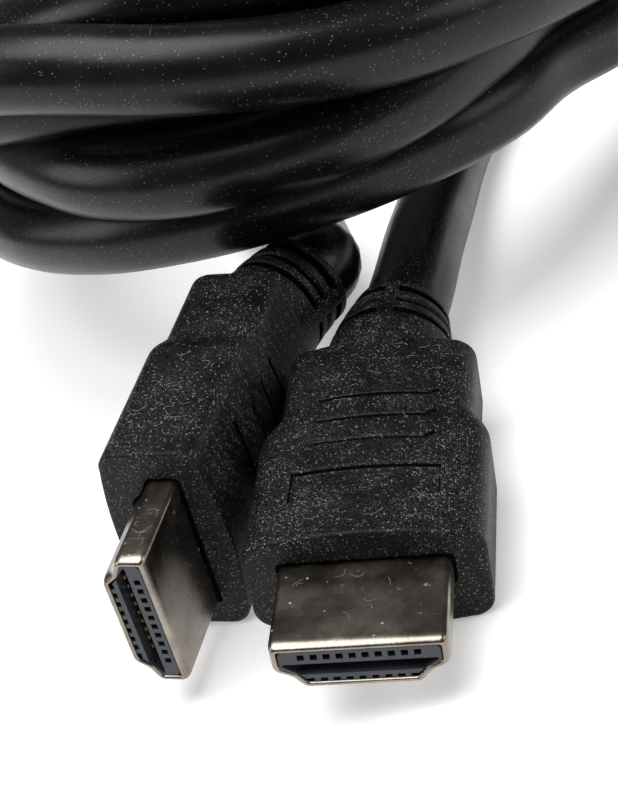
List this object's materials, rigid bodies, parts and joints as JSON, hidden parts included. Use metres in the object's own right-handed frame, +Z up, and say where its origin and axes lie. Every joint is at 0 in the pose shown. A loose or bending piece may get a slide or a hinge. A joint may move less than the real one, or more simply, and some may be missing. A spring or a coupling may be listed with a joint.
{
  "type": "hdmi cable",
  "caption": "Round black video cable in a leaning coil, with a moulded D-shell plug on each end lying in front of it.",
  "frame": {"origin": "on the floor, under the middle of the box around the two plugs", "axes": "+Z up from the floor, +Y from the plugs' tips back towards the coil, along the flat-lying plug"},
  "size_m": [0.1023, 0.1478, 0.0467],
  "materials": {
    "overmould": "frosted soft black moulding",
    "jacket": "smooth semi-gloss black",
    "shell": "nickel plated, dull and scratched",
    "insulator": "dull blue-grey plastic",
    "contact": "gold flash"
  },
  "bodies": {
    "root": {"plug_a_overmould": "overmould", "plug_a_shell": "shell", "plug_a_insulator": "insulator", "plug_a_contact_01": "contact", "plug_a_contact_02": "contact", "plug_a_contact_03": "contact", "plug_a_contact_04": "contact", "plug_a_contact_05": "contact", "plug_a_contact_06": "contact", "plug_a_contact_07": "contact", "plug_a_contact_08": "contact", "plug_a_contact_09": "contact", "plug_a_contact_10": "contact", "plug_a_contact_11": "contact", "plug_a_contact_12": "contact", "plug_a_contact_13": "contact", "plug_a_contact_14": "contact", "plug_a_contact_15": "contact", "plug_a_contact_16": "contact", "plug_a_contact_17": "contact", "plug_a_contact_18": "contact", "plug_a_contact_19": "contact", "plug_b_overmould": "overmould", "plug_b_shell": "shell", "plug_b_insulator": "insulator", "plug_b_contact_01": "contact", "plug_b_contact_02": "contact", "plug_b_contact_03": "contact", "plug_b_contact_04": "contact", "plug_b_contact_05": "contact", "plug_b_contact_06": "contact", "plug_b_contact_07": "contact", "plug_b_contact_08": "contact", "plug_b_contact_09": "contact", "plug_b_contact_10": "contact", "plug_b_contact_11": "contact", "plug_b_contact_12": "contact", "plug_b_contact_13": "contact", "plug_b_contact_14": "contact", "plug_b_contact_15": "contact", "plug_b_contact_16": "contact", "plug_b_contact_17": "contact", "plug_b_contact_18": "contact", "plug_b_contact_19": "contact", "cord_lead_a": "jacket", "cord_lead_b": "jacket", "cord_coil": "jacket"}
  },
  "joints": []
}
